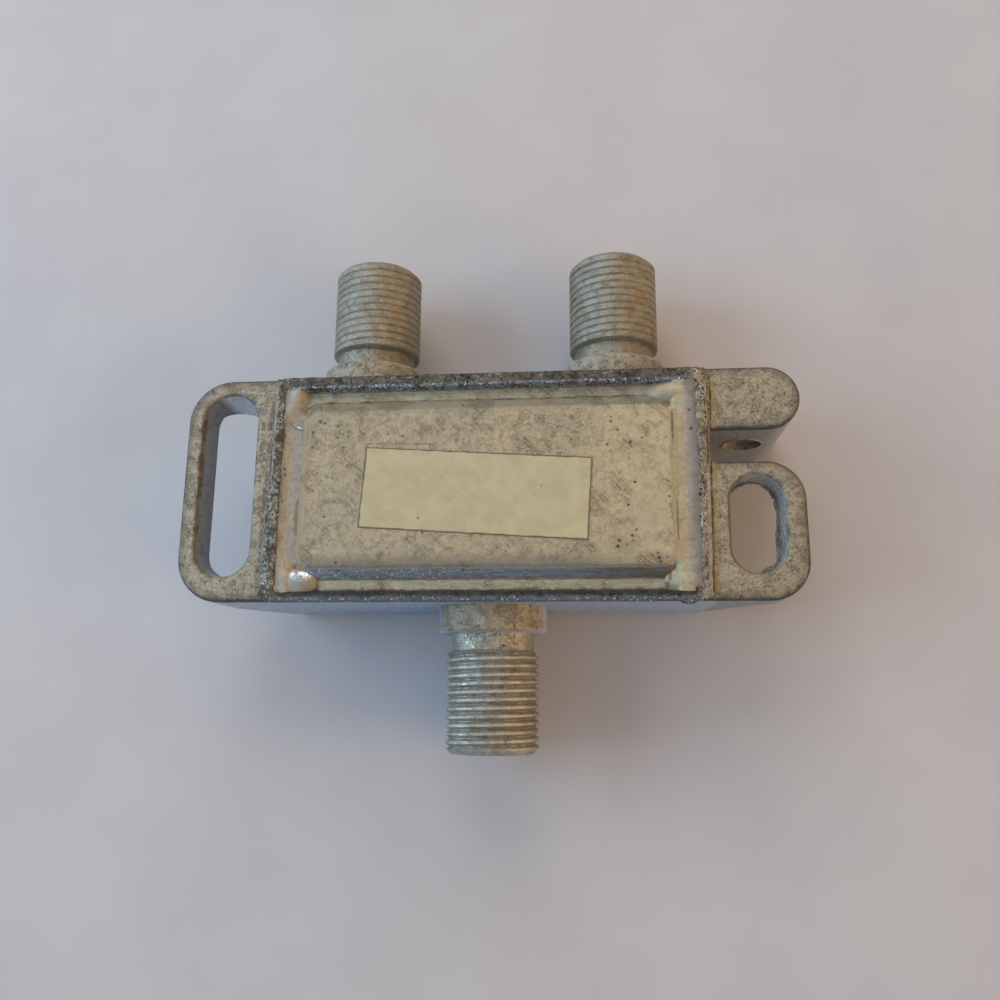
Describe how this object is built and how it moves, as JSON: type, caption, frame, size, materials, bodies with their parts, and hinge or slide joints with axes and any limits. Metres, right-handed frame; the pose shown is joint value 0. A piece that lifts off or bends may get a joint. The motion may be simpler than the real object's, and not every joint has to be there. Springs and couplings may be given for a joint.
{
  "type": "coaxial splitter",
  "caption": "Two-way coaxial signal splitter: cast zinc case with threaded F ports, slotted mounting ears, a ground block with clamp screw and a soldered steel back cover.",
  "frame": {"origin": "middle of the case's front face, on which it lies", "axes": "+X from the long-slotted ear to the ground block, -Y out of the input port, +Z towards the back cover"},
  "size_m": [0.062, 0.0519, 0.0142],
  "materials": {
    "zinc_casting": "bare die-cast zinc, speckled and tarnished",
    "tinned_steel": "tinned, lightly scratched",
    "solder": "smooth solder with flux stains",
    "sticker": "clear film, yellowed",
    "threaded_metal": "cut thread, worn bright on the crests",
    "insulator": "white moulded plastic",
    "contact_metal": "tinned spring bronze",
    "board": "paper laminate",
    "ferrite": "matte dark ferrite",
    "enamelled_wire": "glossy enamel on copper",
    "resistor_body": "lacquered",
    "capacitor_body": "dipped",
    "screw_steel": "zinc-plated"
  },
  "bodies": {
    "case": {"housing": "zinc_casting", "back_cover": "tinned_steel", "solder_seam_left": "solder", "solder_seam_right": "solder", "cover_label": "sticker", "input_port": "threaded_metal", "output_left_port": "threaded_metal", "output_right_port": "threaded_metal", "input_front_insulator": "insulator", "output_left_front_insulator": "insulator", "output_right_front_insulator": "insulator", "input_rear_insulator": "insulator", "output_left_rear_insulator": "insulator", "output_right_rear_insulator": "insulator", "input_contact": "contact_metal", "output_left_contact": "contact_metal", "output_right_contact": "contact_metal", "circuit_board": "board", "matching_core": "ferrite", "splitting_core": "ferrite", "matching_winding": "enamelled_wire", "splitting_winding": "enamelled_wire", "balance_resistor": "resistor_body", "matching_capacitor": "capacitor_body"},
    "screw": {"ground_screw": "screw_steel"}
  },
  "joints": [
    {"name": "ground_clamp", "type": "slide", "parent": "case", "child": "screw", "axis": [0, 0, 1], "range_m": [0, 0.0035]}
  ]
}
